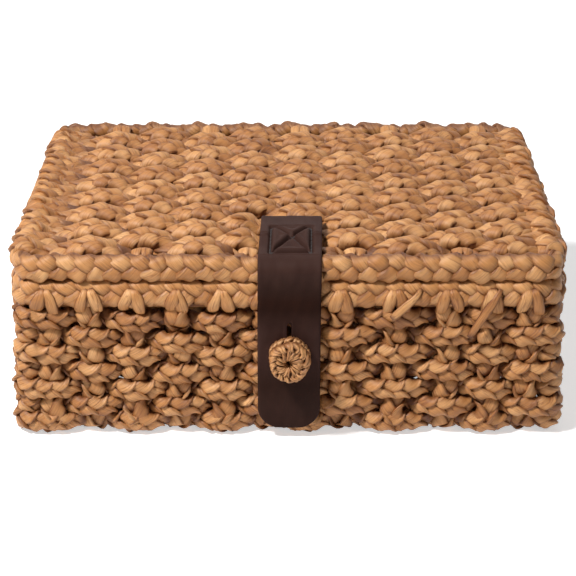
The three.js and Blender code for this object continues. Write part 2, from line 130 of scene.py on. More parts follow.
def placed(name, data):
    """Puts a mesh, a lamp or the camera into the scene."""
    piece = bpy.data.objects.new(name, data)
    bpy.context.scene.collection.objects.link(piece)
    return piece


def dress(piece, body, node):
    """Has a piece ride on a body in place of a solid."""
    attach(piece, body)
    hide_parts(node)


def set_strand(mesh, places):
    """Stores where each point is in its own strand."""
    attribute = mesh.attributes.new("strand", "FLOAT_VECTOR", "POINT")
    attribute.data.foreach_set("vector", places.ravel().astype(np.float32))


class Skin:
    """Collects swept tubes into one mesh, with where each point is in its own strand."""

    def __init__(self):
        self.warp = None
        self.points = []
        self.strand = []
        self.tone = []
        self.edge = []
        self.quads = []
        self.caps = []
        self.count = 0

    def tube(self, grid, strand, tone, closed, shade=0.0, lined=1.0):
        """Adds a tube from a grid of points, one row for each section."""
        if self.warp:
            grid = self.warp(grid)
        n, m = grid.shape[:2]
        index = np.arange(n * m).reshape(n, m) + self.count
        here = index if closed else index[:-1]
        ahead = np.roll(index, -1, axis=0) if closed else index[1:]
        quad = np.stack([here, np.roll(here, -1, 1), np.roll(ahead, -1, 1), ahead], axis=-1)
        self.quads.append(quad.reshape(-1, 4))
        if not closed:
            self.caps.append(index[0][::-1].tolist())
            self.caps.append(index[-1].tolist())
        self.points.append(grid.reshape(-1, 3))
        self.strand.append(strand.reshape(-1, 3))
        self.tone.append(np.full(n * m, tone))
        # Painted shade: both edges of the strand's section are darkened, less where lined is low, and the
        # given shade darkens it further; stored as the edge attribute
        side = np.abs(np.cos(2 * pi * (np.arange(m) + 0.5) / m)) ** 7
        side = side * np.broadcast_to(lined, (n,))[:, None]
        shade = shade if np.ndim(shade) == 2 else np.broadcast_to(shade, (n,))[:, None]
        self.edge.append(np.maximum(side, shade).ravel())
        self.count += n * m

    def piece(self, name, material):
        """Makes the Blender object."""
        points = np.concatenate(self.points) * MM
        points[:, 2] = np.maximum(points[:, 2], 0.0)
        quads = np.concatenate(self.quads)
        loops = np.concatenate([quads.ravel(), *[np.array(c) for c in self.caps]]).astype(np.int32)
        sizes = np.concatenate([np.full(len(quads), 4), [len(c) for c in self.caps]]).astype(np.int32)
        mesh = bpy.data.meshes.new(name)
        mesh.vertices.add(len(points))
        mesh.vertices.foreach_set("co", points.ravel().astype(np.float32))
        mesh.loops.add(len(loops))
        mesh.loops.foreach_set("vertex_index", loops)
        mesh.polygons.add(len(sizes))
        mesh.polygons.foreach_set("loop_start", np.concatenate([[0], np.cumsum(sizes)[:-1]]).astype(np.int32))
        mesh.polygons.foreach_set("loop_total", sizes)
        mesh.polygons.foreach_set("use_smooth", np.ones(len(sizes), bool))
        set_strand(mesh, np.concatenate(self.strand))
        for label, values in (("tone", self.tone), ("edge", self.edge)):
            attribute = mesh.attributes.new(label, "FLOAT", "POINT")
            attribute.data.foreach_set("value", np.concatenate(values).astype(np.float32))
        mesh.update(calc_edges=True)
        mesh.validate()
        mesh.materials.append(material)
        return placed(name, mesh)


def strand_section(n, half_width, half_thickness, sides, s, rng, crumple=1.0, split=0.0):
    """Sideways and upright offsets of a flattened leaf strand, with creases that wander along it."""
    angle = 2 * pi * (np.arange(sides) + 0.5) / sides
    t = s / max(s[-1], 1e-6)
    whole = s[-1]
    width = np.broadcast_to(half_width, (n,)) * (1 + 0.09 * wobble(t, whole / 29, rng))
    thick = np.broadcast_to(half_thickness, (n,)) * (1 + 0.08 * wobble(t, whole / 23, rng))
    u = width[:, None] * np.cos(angle)
    rise = np.sign(np.sin(angle)) * np.abs(np.sin(angle)) ** 0.62
    share = np.cos(angle)[None, :]
    crease = np.zeros((n, sides))
    for depth in (0.13, 0.10, 0.07):
        place = (0.35 * wobble(t, whole / 47, rng) + rng.uniform(-0.35, 0.35))[:, None]
        strength = (0.5 + 0.5 * wobble(t, whole / 23, rng))[:, None]
        crease += crumple * depth * strength * np.exp(-(((share - place) / 0.16) ** 2))
    crease += split * np.exp(-((share / 0.22) ** 2))
    v = thick[:, None] * rise * (1 - crease)
    return u, v


def sweep_strand(skin, centre, normal, half_width, half_thickness, sides, rng, closed, roll=0.0, shade=0.0,
                 lined=1.0, layer=None, **shape):
    """Sweeps one flattened strand along a centre line and adds it to the skin."""
    tangent = along_path(centre, closed)
    normal = unit(normal - tangent * np.sum(normal * tangent, axis=1, keepdims=True))
    across = np.cross(tangent, normal)
    turn = np.broadcast_to(roll, (len(centre),))[:, None]
    face = normal * np.cos(turn) + across * np.sin(turn)
    across = np.cross(tangent, face)
    s, _ = lengths(centre, closed)
    u, v = strand_section(len(centre), half_width, half_thickness, sides, s, rng, **shape)
    grid = centre[:, None, :] + across[:, None, :] * u[:, :, None] + face[:, None, :] * v[:, :, None]
    offset = rng.uniform(0, 900)
    place = np.stack([u, v, np.broadcast_to((s + offset)[:, None], u.shape)], axis=-1)
    # Painted shade: points deep inside the plait, away from both of its faces, are darkened
    if layer:
        middle, up, half = layer
        height = np.abs(np.sum((grid - middle[:, None, :]) * up[:, None, :], axis=-1)) / half[:, None]
        hollow = 0.95 * np.clip(1.04 - height, 0, 1)
        shade = np.maximum(np.broadcast_to(shade, (len(grid),))[:, None], hollow)
    skin.tube(grid, place, rng.uniform(0, 1), closed, shade, lined)


def plait(skin, points, normals, width, thickness, period, hand, rng, closed, sides=LEAF_SIDES, shade=0.0,
          fill=0.64, turn=1.15, core=0.0, rise=1.5, lap=1.06, **shape):
    """Adds a flat plait of three strands along a path, its face turned to the normals.

    Each strand crosses the middle on one face, rolls over the edge and comes back on the other face. A high
    turn keeps the strands flat for longer before they roll over. The core is the filled share of the section.
    """
    s, whole = lengths(points, closed)
    t = s / whole
    turns = whole / period
    if closed:
        turns = round(turns)
    tangent = along_path(points, closed)
    normals = unit(normals - tangent * np.sum(normals * tangent, axis=1, keepdims=True))
    side = np.cross(normals, tangent)
    width = np.broadcast_to(width, s.shape)
    thickness = np.broadcast_to(thickness, s.shape)
    leaf_thickness = thickness * 0.25
    lift = thickness / 2 - 0.85 * leaf_thickness
    swing = width * 0.355
    leaf_width = period / 3 * np.sin(np.arctan(2 * pi * swing / period)) * fill
    steep = 4 * pi * rise / np.tanh(rise) * lift / period
    fold_width = period / 6 * np.sin(np.arctan(steep)) * lap
    start = rng.random() + 0.012 * wobble(t, whole / 31, rng)
    for k in range(3):
        theta = 2 * pi * (turns * t + start + k / 3) + 0.2 * wobble(t, whole / 34, rng)
        y = swing * np.sin(theta) * (1 + 0.03 * wobble(t, whole / 33, rng))
        z = hand * lift * np.tanh(rise * np.sin(2 * theta)) / np.tanh(rise)
        centre = points + side * y[:, None] + normals * z[:, None]
        over = -np.tanh(turn * np.cos(theta)) / np.tanh(turn)
        roll = -pi / 2 * (1 + hand * over) + 0.06 * wobble(t, whole / 31, rng)
        fold = np.sin(theta) ** 6
        # Painted shade where a strand passes under the middle crossing and on the lower half of its folds
        tucked = np.clip(1 - np.abs(np.sin(theta)) / 0.34, 0, 1)
        below = np.clip(np.abs(np.sin(theta)) * 4 - 3, 0, 1) * np.clip(-1.6 * z / lift, 0, 1)
        tucked = np.maximum(tucked, 0.85 * below)
        sweep_strand(skin, centre, normals, leaf_width * (1 - fold) + fold_width * fold, leaf_thickness,
                     sides, rng, closed, roll, np.maximum(shade, tucked), 1 - 0.5 * fold,
                     layer=(points, normals, thickness / 2), **shape)
    if core:
        # Painted shade: the core is darkened
        sweep_strand(skin, points, normals, core * width / 2, core * thickness / 2, sides, rng, closed,
                     shade=0.3)


def spaced(points, step, closed=False):
    """Points at an even distance along a path."""
    if closed:
        points = np.vstack([points, points[:1]])
    s, whole = lengths(points, False)
    n = max(4, round(whole / step))
    at = np.linspace(0, whole, n, endpoint=not closed)
    return np.stack([np.interp(at, s, points[:, i]) for i in range(points.shape[1])], axis=1)


def smooth_curve(controls, step):
    """Smooth curve through a few points, as evenly spaced points."""
    p = np.array(controls, float)
    ends = np.vstack([2 * p[0] - p[1], p, 2 * p[-1] - p[-2]])
    t = np.linspace(0, 1, 24, endpoint=False)[:, None]
    parts = []
    for a, b, c, d in zip(ends, ends[1:], ends[2:], ends[3:]):
        parts.append(0.5 * (2 * b + (c - a) * t + (2 * a - 5 * b + 4 * c - d) * t ** 2
                            + (3 * b - a - 3 * c + d) * t ** 3))
    return spaced(np.vstack([*parts, p[-1:]]), step)


def ring_length(radius):
    return 4 * (HALF_X - radius) + 4 * (HALF_Y - radius) + 2 * pi * radius


def ring_at(s, radius):
    """Point and outward direction on a rounded rectangle, s anticlockwise from the front left corner."""
    s = np.mod(np.asarray(s, float), ring_length(radius))
    points = np.zeros((len(s), 3))
    outward = np.zeros((len(s), 3))
    start = 0.0
    arc = radius * pi / 2
    sides = [(1, 0, HALF_X, HALF_Y), (0, 1, HALF_Y, HALF_X), (-1, 0, HALF_X, HALF_Y), (0, -1, HALF_Y, HALF_X)]
    for dx, dy, half, other in sides:
        along = np.array([dx, dy, 0.0])
        out = np.array([dy, -dx, 0.0])
        run = 2 * (half - radius)
        on = (s >= start) & (s < start + run)
        points[on] = along * (s[on] - start - run / 2)[:, None] + out * other
        outward[on] = out
        turn = (s >= start + run) & (s < start + run + arc + 1e-9)
        angle = ((s[turn] - start - run) / radius)[:, None]
        direction = out * np.cos(angle) + along * np.sin(angle)
        points[turn] = along * (half - radius) + out * (other - radius) + direction * radius
        outward[turn] = direction
        start += run + arc
    return points, outward


def spread_at(z):
    """How far the side walls stand out at a height, because the box is a little wider at its foot."""
    return WALL_SPREAD * np.clip((STAKE_TOP - z) / (STAKE_TOP - TURN_Z), 0, 1)


def wall_stations(row):
    """Distance round the wall and side, outside 1 or inside -1, where a row passes each stake."""
    radius = WALL_CORNER
    arc = radius * pi / 2
    long_run = 2 * (HALF_X - radius)
    short_run = 2 * (HALF_Y - radius)
    side = 1 if row % 2 == 0 else -1
    stations = []
    start = 0.0
    rear_xs = [-x for x in reversed(STAKE_XS)]
    for places, half, run in ((STAKE_XS, HALF_X, long_run), (STAKE_YS, HALF_Y, short_run),
                              (rear_xs, HALF_X, long_run), (STAKE_YS, HALF_Y, short_run)):
        for place in places:
            stations.append((start + place + half - radius, side))
            side = -side
        corner = -side if half == HALF_X else side
        stations.append((start + run + arc / 2, 1.05 if corner > 0 else 0.7))
        start += run + arc
        if half == HALF_X:
            stations.append((start, 0))
        else:
            stations.insert(-1, (start - arc, 0))
    return stations


def swing_between(s, stations, whole):
    """Smooth swing from each station's side to the next, round a closed path, longest on the outside."""
    places = np.array([stations[-1][0] - whole] + [p for p, _ in stations] + [stations[0][0] + whole])
    sides = np.array([stations[-1][1]] + [v for _, v in stations] + [stations[0][1]], float)
    i = np.clip(np.searchsorted(places, s, side="right") - 1, 0, len(places) - 2)
    t = (s - places[i]) / (places[i + 1] - places[i])
    outer = np.maximum(sides[i], sides[i + 1])
    inner = np.minimum(sides[i], sides[i + 1])
    away = np.where(sides[i] >= sides[i + 1], t, 1 - t)
    return outer + (inner - outer) * (1 - np.cos(pi * away ** 1.3)) / 2


# Plaited rows and stakes: how far they swing out and in, sag, widen and lean, and one turn of each plait
ROW_SWING = 4.1
ROW_TUCK = 4.2
ROW_THICKNESS = 5.6
FOOT_ROW_Z = 7.2
ROW_SAGS = [3.0, 4.0, 1.5, 1.5, 1.0, 0.0, 0.0]
SAG_X = -55.0
STAKE_SWING = 3.2
STAKE_FOOT = 4.2
STAKE_WIDTH = 11.0
STAKE_THICKNESS = 6.0
BASE_THICKNESS = 3.0
BASE_END = 137.0
BASE_EDGE_X = 134.5
BASE_EDGE_SHIFT = 26.3
LID_WAVE = 4.5
LID_LEAN = 0.3
LID_WIDTH = 8.4
LID_THICKNESS = 5.8
ROW_WIDTHS = [(-1.0, 9.0), (-0.5, 6.0), (-0.1, 7.2), (0.4, 9.0), (1.0, 10.0)]
ROW_PERIOD = 29.5
STAKE_PERIOD = 34.0
BASE_PERIOD = 31.0
LID_PERIOD = 29.0
ROLL_PERIOD = 29.5
CLOSE = {"turn": 1.6, "rise": 0.8, "lap": 1.3}


def wall_row(row, material):
    name = f"wall_plait_{row + 1:02d}"
    rng = rng_for(name)
    whole = ring_length(WALL_CORNER)
    s = np.arange(0, whole, 1.15)
    points, outward = ring_at(s, WALL_CORNER)
    swing = swing_between(s, wall_stations(row), whole)
    if row < ROW_COUNT - 1:
        sag = ROW_SAGS[row] * np.exp(-((points[:, 0] - SAG_X) / 42) ** 2) * np.clip(-outward[:, 1], 0, 1)
        z = ROW_TOP - (row + 0.5) * ROW_PITCH + 0.6 - sag
        points = points + outward * (swing * np.where(swing > 0, ROW_SWING, ROW_TUCK))[:, None]
        points[:, 2] = z + 0.45 * wobble(s / whole, 24, rng)
        face = outward
    else:
        z = FOOT_ROW_Z
        points = points + outward * (swing * np.where(swing < 0, 3.6, 4.0) - 0.3)[:, None]
        points[:, 2] = z + 0.7 * swing + 0.25 * wobble(s / whole, 38, rng)
        tilt = (FOOT_TILT * (0.5 - 0.3 * swing))[:, None]
        face = outward * np.cos(tilt) - UP * np.sin(tilt)
    on_side = np.clip((np.abs(points[:, 0]) - 126) / 9, 0, 1)
    points[:, 0] += np.sign(points[:, 0]) * spread_at(z) * on_side ** 2 * (3 - 2 * on_side)
    skin = Skin()
    # Painted shade where the row dives in behind the stakes
    behind = 0.95 * np.exp(-((swing + 0.2) / 0.36) ** 2)
    width = np.interp(swing, *zip(*ROW_WIDTHS))
    plait(skin, points, face, width, ROW_THICKNESS + 0.8 * swing, ROW_PERIOD, 1, rng, True, shade=behind,
          **CLOSE)
    dress(skin.piece(name, material), "box", f"wall_row_{row + 1:02d}")


def stake_profile(half, base_z, order, spread):
    """Path of a stake as distance out and height, from the top of one wall to the top of the other."""
    down = [(-half, 79.0)]
    for row in range(ROW_COUNT - 1):
        side = 1 if (row + order) % 2 == 0 else -1
        z = ROW_TOP - (row + 0.5) * ROW_PITCH
        down.append((-half - spread * spread_at(z) + side * STAKE_SWING, z))
    foot = STAKE_FOOT if (ROW_COUNT - 1 + order) % 2 == 0 else 0.0
    centre = half + spread * WALL_SPREAD - TURN_RADIUS + foot
    turn = [(-centre - TURN_RADIUS * cos(a), TURN_Z - TURN_RADIUS * sin(a))
            for a in np.radians([8, 30, 52, 74, 90])]
    ramp = [(-centre + 2.5 + foot, SIDE_BASE_Z)]
    if base_z > SIDE_BASE_Z:
        ramp.append((-centre + 9 + foot, base_z))
    front = down + turn + ramp
    middle = [(x, base_z) for x in np.linspace(-centre + 20, centre - 20, 9)]
    return front + middle + [(-x, z) for x, z in reversed(front)]


def stake(index, long, material):
    stem = "long_stake" if long else "cross_stake"
    name = f"{stem}_plait_{index + 1:02d}"
    rng = rng_for(name)
    place = STAKE_XS[index] if long else STAKE_YS[index]
    half = HALF_Y if long else HALF_X
    order = index if long else index + 1
    axes = [1, 0, 2] if long else [0, 1, 2]
    profile = stake_profile(half, LONG_BASE_Z if long else SIDE_BASE_Z, order, 0 if long else 1)
    curve = smooth_curve([(out, 0, z) for out, z in profile], 1.15)
    tangent = along_path(curve, False)
    outward = np.stack([tangent[:, 2], np.zeros(len(curve)), -tangent[:, 0]], axis=1)[:, axes]
    points = (curve + np.array([0, place, 0]))[:, axes]
    on_base = np.clip((TURN_Z + 4 - curve[:, 2]) / 10, 0, 1)
    skin = Skin()
    plait(skin, points, outward, STAKE_WIDTH + 1.8 * on_base, STAKE_THICKNESS - 3.1 * on_base, STAKE_PERIOD,
          -1 if long else 1, rng, False, **CLOSE)
    dress(skin.piece(name, material), "box", f"{stem}_{index + 1:02d}")


def base_plait(skin, points, width, rng):
    """Adds one plait of the base, its face up."""
    plait(skin, points, UP, width, BASE_THICKNESS, BASE_PERIOD, 1, rng, False, turn=2.2, core=0.5)


def base_row(index, material):
    name = f"base_plait_{index + 1:02d}"
    rng = rng_for(name)
    y = (STAKE_YS[index] + STAKE_YS[index + 1]) / 2
    side = 1 if index % 2 == 0 else -1
    controls = [(-BASE_END, y, LONG_BASE_Z + side * 2.6)]
    for i, x in enumerate(STAKE_XS):
        sign = side if i % 2 == 0 else -side
        controls.append((x, y, LONG_BASE_Z + sign * 2.9))
    controls.append((BASE_END, y, LONG_BASE_Z + (side if len(STAKE_XS) % 2 else -side) * 2.6))
    points = smooth_curve(controls, 1.2)
    skin = Skin()
    base_plait(skin, points, 17.5, rng)
    edge = {0: -1, len(STAKE_YS) - 2: 1}.get(index)
    if edge:
        beyond = points * np.array([1, 1, -1]) + np.array([0, edge * BASE_EDGE_SHIFT, 2 * LONG_BASE_Z])
        base_plait(skin, beyond, 15.0, rng)
        across = [(edge * BASE_EDGE_X, y, LONG_BASE_Z + 0.8 * (-1) ** k)
                  for k, y in enumerate(range(-98, 99, 14))]
        base_plait(skin, smooth_curve(across, 1.2), 13.0, rng)
    dress(skin.piece(name, material), "box", f"base_row_{index + 1:02d}")


def roll_plait(skin, z, width, thickness, out, up_angle, rng, narrow=0.0):
    """Adds the plait that is worked round a roll, its face turned outwards and up by an angle."""
    whole = ring_length(ROLL_CORNER)
    s = np.arange(0, whole, 1.0)
    ring, outward = ring_at(s, ROLL_CORNER)
    face = outward * cos(up_angle) + UP * sin(up_angle)
    points = ring + face * out + UP * z
    points = points + face * (0.35 * wobble(s / whole, 33, rng))[:, None]
    low = 1 - narrow * outward[:, 0] ** 2
    bump = np.cos(2 * pi * ring[:, 0] / ROD_SPACING) * np.clip(outward[:, 1], 0, 1) * (narrow > 0)
    pressed = np.clip((STRAP_HALF + 8 - np.abs(ring[:, 0])) / 8, 0, 1) * np.clip(-outward[:, 1], 0, 1)
    rise = 0.35 * bump - 1.3 * pressed * (narrow > 0) + 0.3 * (narrow > 0) * wobble(s / whole, 47, rng)
    points = points + UP * rise[:, None]
    low = low * (1 + 0.05 * bump)
    width = width * low * (1 + 0.07 * wobble(s / whole, 41, rng))
    plait(skin, points, face, width, thickness * low, ROLL_PERIOD, -1, rng, True, sides=16, turn=1.6,
          core=0.62)


def leaf(skin, controls, facing, half_width, half_thickness, rng):
    """Adds one short strand with narrowed ends, through a few points."""
    points = smooth_curve(controls, 0.6)
    t = np.linspace(0, 1, len(points))
    taper = 0.3 + 0.7 * np.sin(pi * (0.05 + 0.83 * t)) ** 0.9
    # Painted shade at both ends, where the leaf tucks under
    tucked = np.clip(1 - np.minimum(t, 1 - t) / 0.12, 0, 1)
    sweep_strand(skin, points, facing_along(facing, points), half_width * taper, half_thickness * taper,
                 LEAF_SIDES, rng, False, shade=tucked, crumple=0.45)


def facing_along(facing, points):
    facing = np.array(facing, float)
    if facing.ndim == 1:
        return unit(facing)
    at = np.linspace(0, len(facing) - 1, len(points))
    return unit(np.stack([np.interp(at, range(len(facing)), facing[:, i]) for i in range(3)], axis=1))


def tongue(skin, middle, outward, rng):
    """Two leaves of a stake that hang from the rim over its front, spread like a roof."""
    along = np.cross(UP, outward)
    for sign in (1, -1):
        lean = sign * rng.uniform(2.6, 4.0)
        drop = rng.uniform(-1.8, 1.0) - (1.0 if sign > 0 else 0)
        root = 0.9 * sign + rng.uniform(-0.8, 0.8)
        spots = [(root, 4.4, 3.4), (root + 0.15 * lean, 6.5, 1.4),
                 (root + 0.5 * lean, 7.1 - 0.4 * sign, -1.8), (root + 0.85 * lean, 6.4, -5.0 + drop),
                 (root + 0.95 * lean, 4.6, -8.0 + drop), (root + 0.8 * lean, 2.0, -10.2 + drop)]
        controls = [middle + along * a + outward * o + UP * (RIM_Z + z) for a, o, z in spots]
        facing = [outward * cos(a) + UP * sin(a) for a in (0.9, 0.5, 0.1, -0.3, -0.5, -0.4)]
        leaf(skin, controls, facing, rng.uniform(3.1, 3.8), 1.8, rng)


# Strands left over at the front of the rim: places across, forward and up, and half the width
LOOSE_ENDS = [
    ([(71, 4.6, 88), (68, 7.6, 84.5), (63, 9.0, 80), (58.5, 9.8, 76), (55, 9.4, 73)], 2.3),
    ([(114, 4.6, 88.5), (111, 7.8, 84.5), (106, 9.4, 77), (101, 10.2, 69), (97, 9.6, 62)], 2.4),
]


def loose_end(skin, spots, half_width, rng):
    """A strand that was left over at the front of the rim and hangs down across the wall."""
    controls = [(x, -HALF_Y - out, z) for x, out, z in spots]
    leaf(skin, controls, (0.0, -1.0, 0.25), half_width, 1.3, rng)


def box_rim(material):
    name = "rim_plait"
    rng = rng_for(name)
    skin = Skin()
    roll_plait(skin, RIM_Z - 0.4, 14.0, 10.0, 1.0, radians(14), rng)
    core_roll(skin, RIM_Z, 2.6)
    core_roll(skin, RIM_Z - 6.6, 2.4)
    for x in STAKE_XS:
        for sign in (-1, 1):
            tongue(skin, np.array([x, sign * HALF_Y, 0.0]), np.array([0, sign, 0.0]), rng)
    for y in STAKE_YS:
        for sign in (-1, 1):
            tongue(skin, np.array([sign * HALF_X, y, 0.0]), np.array([sign, 0, 0.0]), rng)
    for spots, half_width in LOOSE_ENDS:
        loose_end(skin, spots, half_width, rng)
    dress(skin.piece(name, material), "box", "box_rim")


def core_roll(skin, z, radius):
    """Bundle of fibre that the round plait is worked over."""
    whole = ring_length(ROLL_CORNER)
    s = np.arange(0, whole, 2.5)
    ring, outward = ring_at(s, ROLL_CORNER)
    angle = 2 * pi * np.arange(12) / 12
    reach, rise = radius * np.cos(angle), radius * np.sin(angle)
    grid = ring[:, None, :] + outward[:, None, :] * reach[:, None] + UP * (rise + z)[:, None]
    strand = np.stack(np.broadcast_arrays(reach, rise, s[:, None]), axis=-1)
    # Painted shade: a fixed low tone makes the bundle darker than the strands
    skin.tube(grid, strand, 0.1, True)


def wire_cover(skin, x, sign, rng):
    """Leaf of the border that is tucked in over the end of a wire, where the outer row passes below it."""
    spots = [(1.0, 4.0), (5.0, 6.4), (9.0, 5.6), (13.0, 3.4), (16.0, 0.6)]
    for shift in (-2.6, 2.4):
        slant = rng.uniform(-1.0, 1.0)
        controls = [(x + shift + slant * k / 4, sign * (HALF_Y - inner), LID_Z + up)
                    for k, (inner, up) in enumerate(spots)]
        leaf(skin, controls, (0.1 * shift, -0.3 * sign, 1.0), 3.6, 2.0, rng)


def lid_border(material):
    name = "lid_border_plait"
    rng = rng_for(name)
    skin = Skin()
    roll_plait(skin, LID_Z + 0.1, 12.6, 9.8, 0.4, radians(8), rng, 0.16)
    core_roll(skin, LID_Z, 2.6)
    for i, x in enumerate(ROD_XS):
        wire_cover(skin, x, 1 if i % 2 == 0 else -1, rng)
    dress(skin.piece(name, material), "lid", "lid_border")


def lid_row_path(row, rng):
    """Middle line of a lid row: over and under the cross wires, then down over the side rolls."""
    y = (row - (LID_ROWS - 1) / 2) * LID_PITCH
    first = 1 if row % 2 == 0 else -1
    sides = [first if i % 2 == 0 else -first for i in range(len(ROD_XS))]
    stops = []
    for x, side in zip(ROD_XS, sides):
        if side > 0:
            height = LID_Z + LID_WAVE + 0.8
            stops += [(x - 11.5, height - 2.8), (x, height), (x + 11.5, height - 2.8)]
        else:
            depth = LID_Z - LID_WAVE
            stops += [(x - 3.5, depth + 0.5), (x, depth), (x + 3.5, depth + 0.5)]
    for end, side in ((-1, sides[0]), (1, sides[-1])):
        near = [(131.0, 1.0 if side > 0 else 2.4), (137.0, 4.0), (141.5, 6.2), (145.2, 5.2), (147.4, 2.2),
                (147.6, -1.4), (146.0, -4.8), (143.4, -6.4)]
        ending = [(end * x, LID_Z + z) for x, z in near]
        stops = ending[::-1] + stops if end < 0 else stops + ending
    lean = rng.uniform(-0.4, 0.4)
    return smooth_curve([(x, y + lean * sin(x / 40), z) for x, z in stops], 1.1)


def lid_row(row, material):
    name = f"lid_plait_{row + 1:02d}"
    rng = rng_for(name)
    points = lid_row_path(row, rng)
    tangent = along_path(points, False)
    normals = np.stack([-tangent[:, 2], np.full(len(points), -LID_LEAN), tangent[:, 0]], axis=1)
    high = np.clip((points[:, 2] - LID_Z + 4) / (LID_WAVE + 4), 0, 1)
    at_edge = np.clip((np.abs(points[:, 0]) - 128) / 14, 0, 1)
    skin = Skin()
    points[:, 2] -= 0.3
    ended = np.clip((np.abs(points[:, 0]) - 146) / 3, 0, 1) * np.clip((LID_Z + 3 - points[:, 2]) / 9, 0, 1)
    y = points[0, 1]
    under_strap = np.clip((STRAP_HALF + 9 - np.abs(points[:, 0])) / 8, 0, 1)
    under_strap = under_strap * np.clip((STRAP_REAR + 6 - y) / 4, 0, 1)
    points[:, 2] -= 3.4 * under_strap * high
    front = float(row == 0)
    slim = 2.0 * (row == LID_ROWS - 1)
    points[:, 1] -= slim + 1.4 * front * (1 - high)
    width = LID_WIDTH - slim + 4.0 * high + 6 * front * (1 - high) - 1.4 * at_edge - 4 * ended
    thickness = LID_THICKNESS + 4.0 * high * (1 - 0.8 * under_strap) - 3.6 * at_edge - ended
    # Painted shade where each dome falls away into a dip, less at the side edges
    shade = 0.85 * np.exp(-((high - 0.45) / 0.2) ** 2) * (1 - at_edge)
    plait(skin, points, normals, width, thickness, LID_PERIOD, -1, rng, False, sides=16, shade=shade,
          fill=0.66, turn=1.6, rise=0.8, lap=1.4, core=0.6)
    dress(skin.piece(name, material), "lid", f"lid_row_{row + 1:02d}")


def knot_warp(front):
    """Bends a straight plait along X into a domed ring in the knot's place, a little off centre."""
    def warp(grid):
        turn = grid[..., 0] / KNOT_RADIUS
        across = grid[..., 1]
        reach = KNOT_RADIUS + np.where(across < 0, 1.38, 0.86) * across
        share = np.clip((reach - 6.6) / 6.2, -0.98, 0.98)
        dome = np.sqrt(1 - share ** 2)
        depth = 3.6 + (5.0 * dome if front else -3.0 * dome) + grid[..., 2]
        slide = 0.7 * np.clip(1 - reach / 11, 0, 1)
        ripple = 1 + 0.025 * np.sin(5 * turn + 1) + 0.02 * np.sin(3 * turn)
        x = reach * ripple * np.cos(turn) - slide
        z = reach * ripple * np.sin(turn) - slide
        return np.stack([x + 0.7, KNOT_Y - depth, KNOT_Z + 0.9 + 1.06 * z], axis=-1)
    return warp


def knot(material):
    """Button of plaited cord: a domed ring plait in front and another behind."""
    name = "knot_plait"
    rng = rng_for(name)
    whole = 2 * pi * KNOT_RADIUS
    skin = Skin()
    for front in (True, False):
        skin.warp = knot_warp(front)
        x = np.arange(-1.5, whole + 1.5, 0.22)
        points = np.stack([x, np.zeros_like(x), 0.25 * wobble(x / whole, 7, rng)], axis=1)
        width = 9.6 * (1 + 0.04 * wobble(x / whole, 6, rng))
        plait(skin, points, UP, width, 5.6, 3 * whole / 14, 1 if front else -1, rng, False, sides=18,
              fill=0.42, crumple=0.8, split=0.4)
    skin.warp = None
    angle = np.linspace(0, 2 * pi, 60, endpoint=False)[:, None]
    round_core = np.linspace(0, 2 * pi, 14, endpoint=False)
    reach = 6.8 + 3.4 * np.cos(round_core)
    depth = 4.2 + 3.2 * np.sin(round_core)
    core = (reach * np.cos(angle), KNOT_Y - depth, KNOT_Z + reach * np.sin(angle))
    core = np.stack(np.broadcast_arrays(*core), axis=-1)
    # Painted shade: the core inside the knot is fully darkened
    skin.tube(core, core, 0.0, True, 1.0)
    dress(skin.piece(name, material), "box", "knot_button")


def twisted_cord(skin, path, radius, pitch, rng, closed=False, plies=3):
    """Adds a cord of twisted plies along a path."""
    s, whole = lengths(path, closed)
    tangent = along_path(path, closed)
    first = unit(np.cross(tangent, np.array([0.31, 0.87, 0.39])))
    second = np.cross(tangent, first)
    turns = max(1, round(whole / pitch))
    for k in range(plies):
        angle = (2 * pi * (turns * s / whole + k / plies))[:, None]
        arm = first * np.cos(angle) + second * np.sin(angle)
        sweep_strand(skin, path + arm * radius * 0.5, arm, radius * 0.56, radius * 0.5, 8, rng, closed)


def knot_cord(material):
    """Cord through the strap and the wall, with an overhand stop knot inside."""
    name = "knot_cord_twist"
    rng = rng_for(name)
    skin = Skin()
    line = spaced(np.array([(0, KNOT_Y - 3.0, KNOT_Z), (0, -103.5, KNOT_Z)], float), 0.5)
    twisted_cord(skin, line, 1.15, 5.0, rng)
    t = np.linspace(0, 2 * pi, 160, endpoint=False)
    loop = [np.sin(t) + 2 * np.sin(2 * t), -0.9 * np.sin(3 * t), np.cos(t) - 2 * np.cos(2 * t)]
    loop = np.stack(loop, axis=1) * 0.62 + np.array([0, -103.2, KNOT_Z])
    twisted_cord(skin, loop, 0.95, 5.0, rng, closed=True)
    dress(skin.piece(name, material), "box", "knot_cord")


def hinge_loop(side, middle, material):
    """Four turns of raffia round the rear rolls of the box and the lid."""
    name = f"hinge_cord_{side}"
    rng = rng_for(name)
    skin = Skin()
    for turn in range(4):
        x = middle - 2.9 + turn * 1.93
        radius = ROLL_RADIUS + 1.5
        angle = np.linspace(0, pi, 40)
        reach = np.cos(angle) * (ROLL_RADIUS - 1.4 + 2.9 * (np.cos(angle) > 0) * np.cos(angle) ** 2)
        top = (HALF_Y + reach, LID_Z + (ROLL_RADIUS - 2.2) * np.sin(angle))
        low = (HALF_Y - radius * np.cos(angle), RIM_Z - radius * np.sin(angle))
        halves = [np.stack([np.full(40, x), y, z], axis=1) for y, z in (top, low)]
        path = spaced(np.vstack(halves), 0.6, closed=True)
        path[:, 0] += 0.25 * wobble(np.linspace(0, 1, len(path)), 3, rng)
        twisted_cord(skin, path, 1.05, 6.0, rng, closed=True, plies=2)
    dress(skin.piece(name, material), "box", f"hinge_loop_{side}")


# Leather strap

